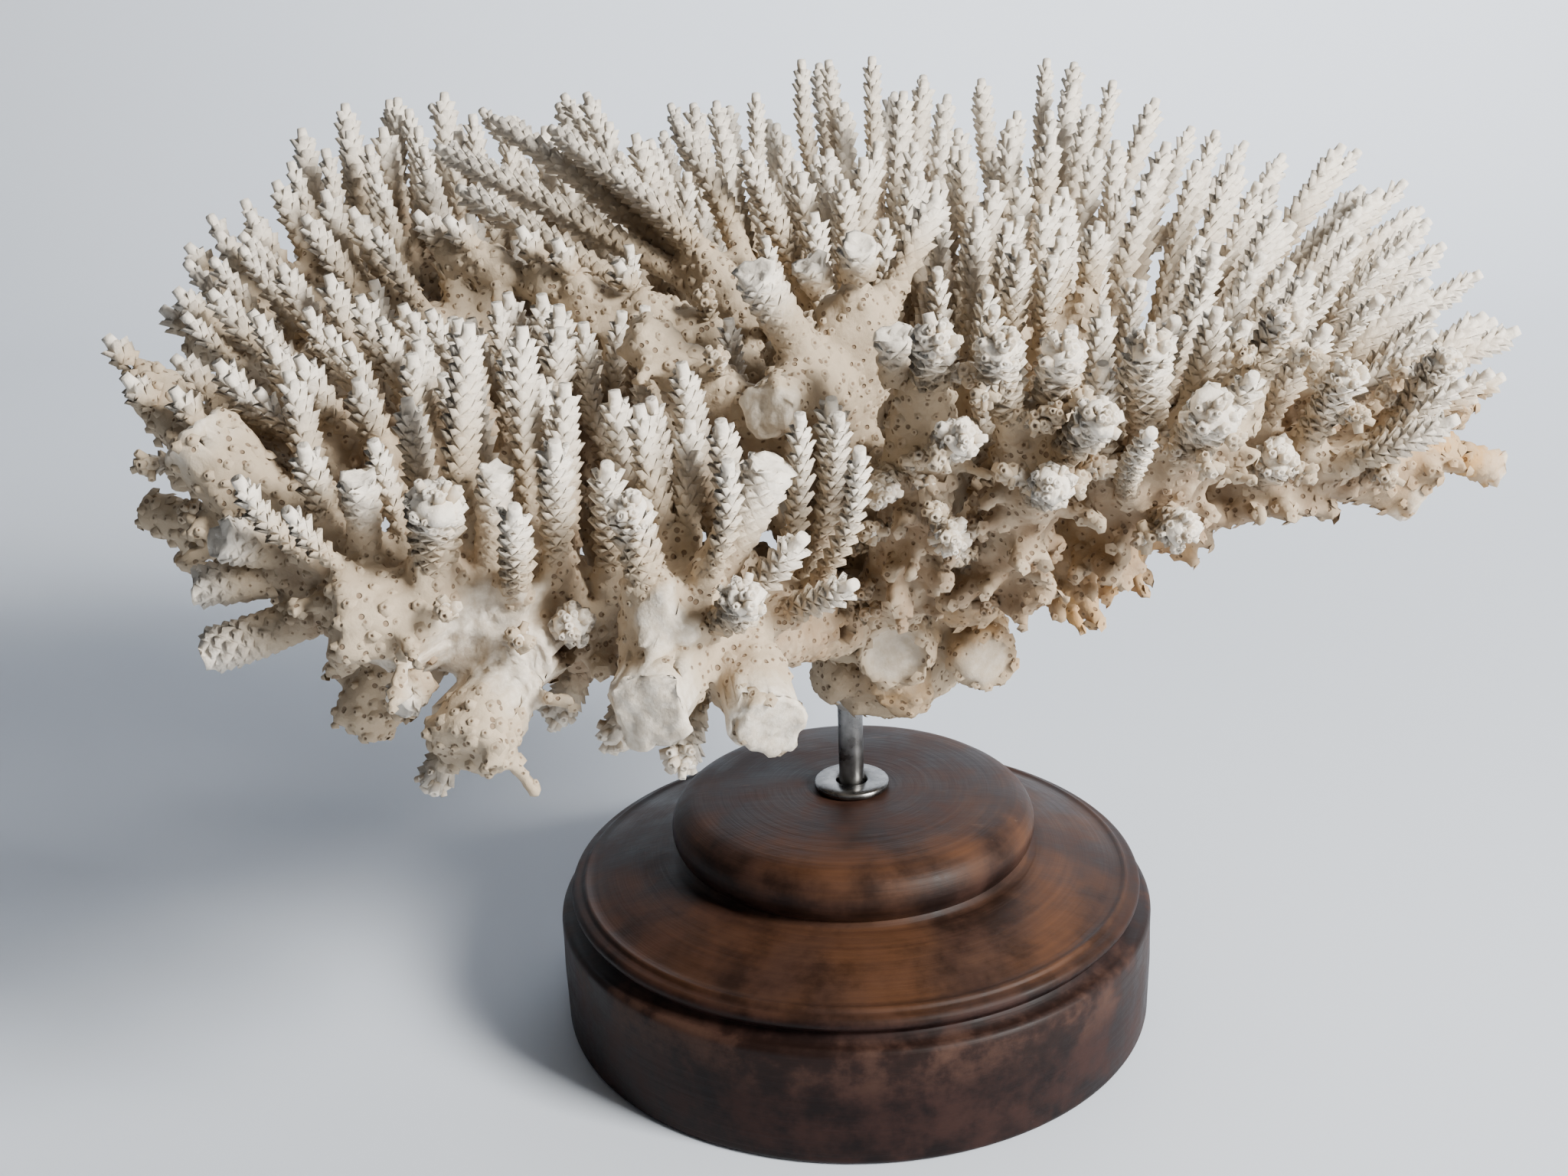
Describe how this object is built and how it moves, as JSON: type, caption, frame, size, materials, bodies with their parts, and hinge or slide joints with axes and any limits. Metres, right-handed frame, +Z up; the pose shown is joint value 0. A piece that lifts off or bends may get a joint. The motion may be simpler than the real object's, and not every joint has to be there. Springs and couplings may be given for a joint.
{
  "type": "branching coral on a turned wooden stand",
  "caption": "Branching table coral with upright fingers, carried by a short steel rod on a round turned wooden base that stands on a table.",
  "frame": {"origin": "centre of the wooden base's flat underside, on the rod's axis", "axes": "+Z up along the rod, +X to the viewer's right in the picture, +Y away from the viewer"},
  "size_m": [0.3038, 0.2479, 0.2143],
  "materials": {
    "stained_wood": "turned hardwood, dark brown stain, satin, worn to orange-brown on the upper tier",
    "steel": "plain steel, slightly dulled",
    "glue": "hardened clear-grey glue",
    "coral": "bleached off-white coral skeleton, matt and porous, tan stains in the recesses"
  },
  "bodies": {
    "root": {"base": "stained_wood", "washer": "steel", "rod": "steel", "glue_collar": "glue", "stalk": "coral", "limb_left_front": "coral", "limb_front_left": "coral", "limb_left_low": "coral", "limb_left_middle": "coral", "limb_left_back": "coral", "limb_back_left": "coral", "limb_back": "coral", "limb_back_right": "coral", "limb_right_back": "coral", "limb_right": "coral", "limb_right_front": "coral", "limb_front_right": "coral", "limb_front_middle": "coral", "limb_front": "coral", "limb_centre": "coral", "limb_centre_left": "coral", "limb_centre_back": "coral", "limb_centre_right": "coral", "limb_centre_far": "coral"}
  },
  "joints": []
}
